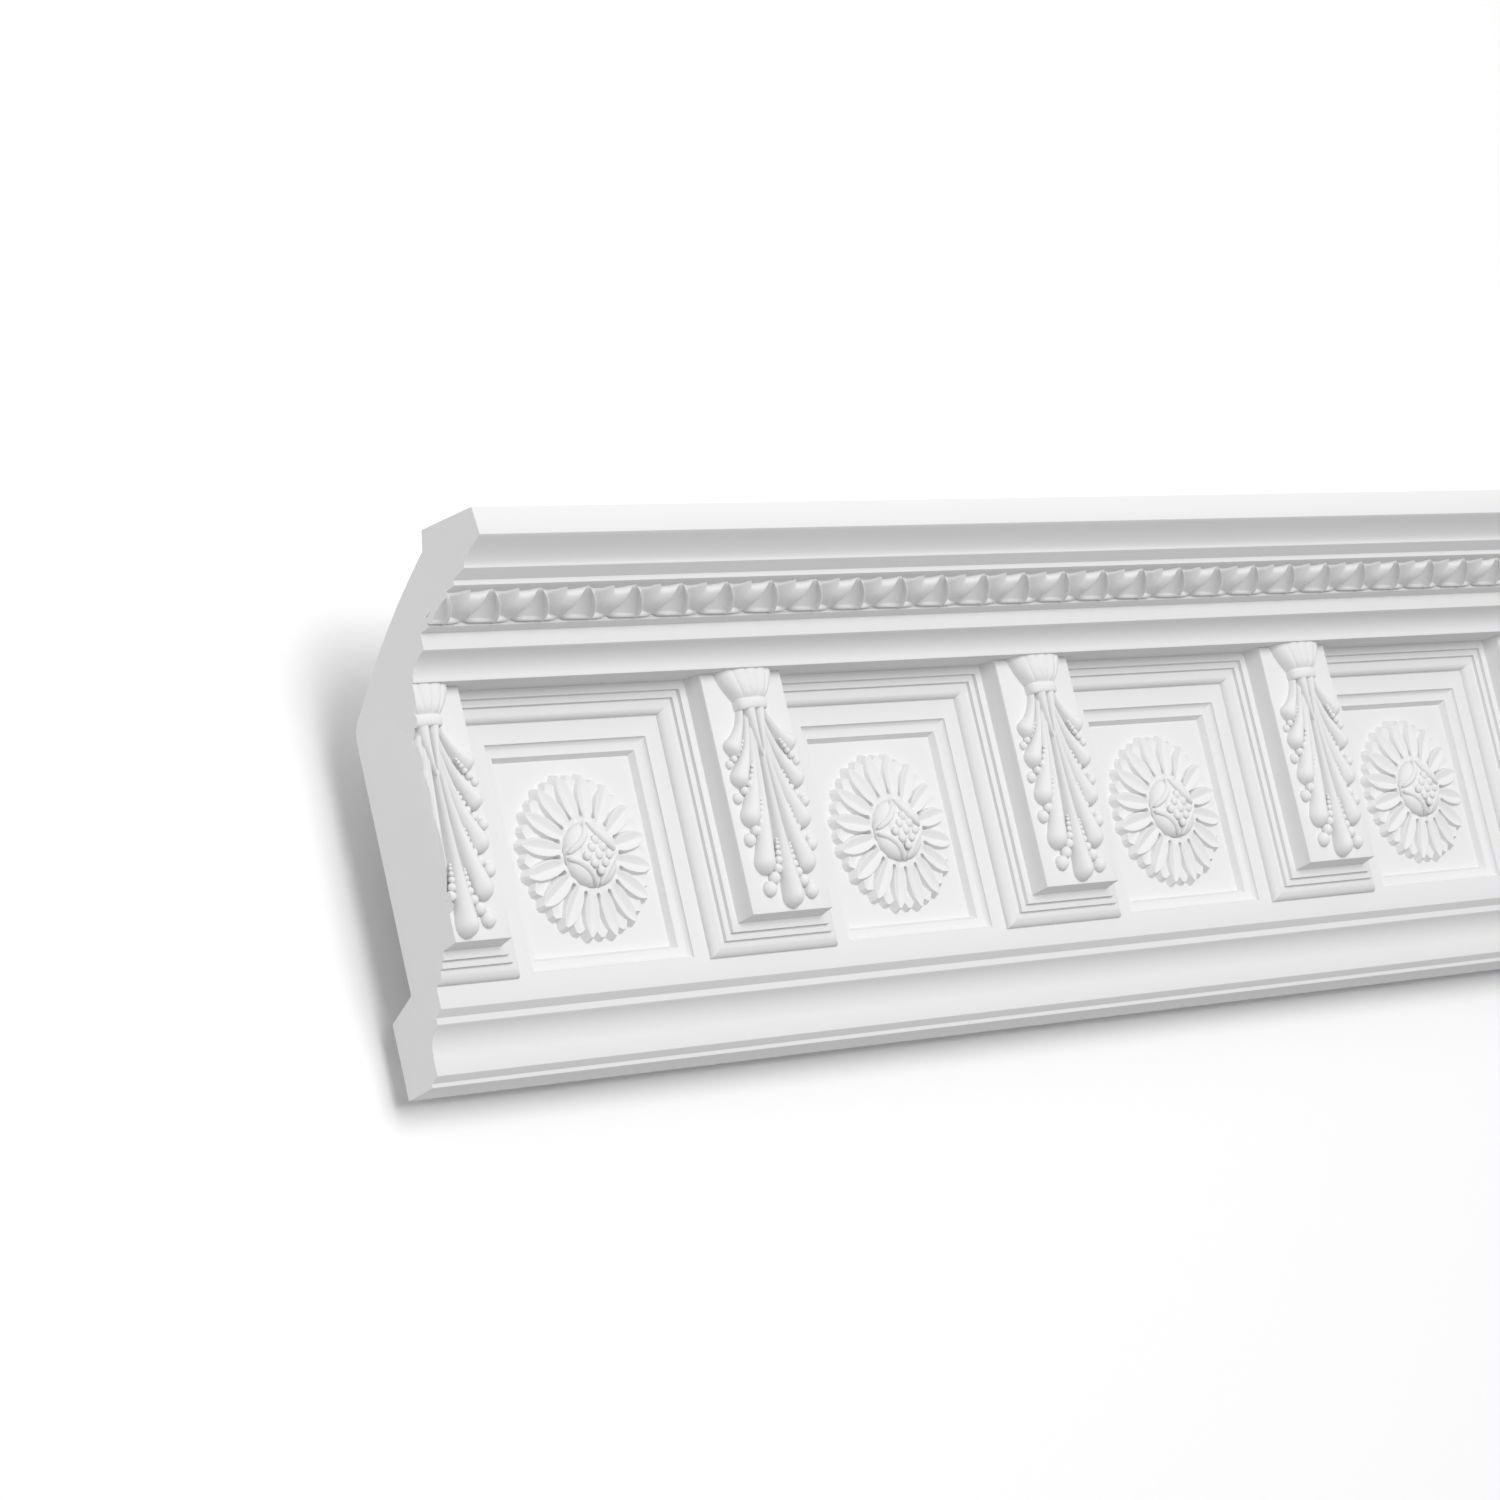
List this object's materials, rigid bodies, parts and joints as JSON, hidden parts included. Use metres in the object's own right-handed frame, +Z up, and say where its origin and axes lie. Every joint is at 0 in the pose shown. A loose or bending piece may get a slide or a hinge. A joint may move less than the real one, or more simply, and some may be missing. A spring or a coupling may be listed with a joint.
{
  "type": "cornice moulding",
  "caption": "Classical crown cornice moulding for the corner of wall and ceiling, with modillions, coffered rosettes and a ribbon band.",
  "frame": {"origin": "centre of the strip that is glued to the wall, half way along the length", "axes": "+X along the wall, -Y out from the wall into the room, +Z up towards the ceiling"},
  "size_m": [1, 0.1219, 0.234],
  "materials": {
    "primed_polyurethane": "matt white primer on cast rigid polyurethane"
  },
  "bodies": {
    "root": {"cornice_moulding": "primed_polyurethane"}
  },
  "joints": []
}
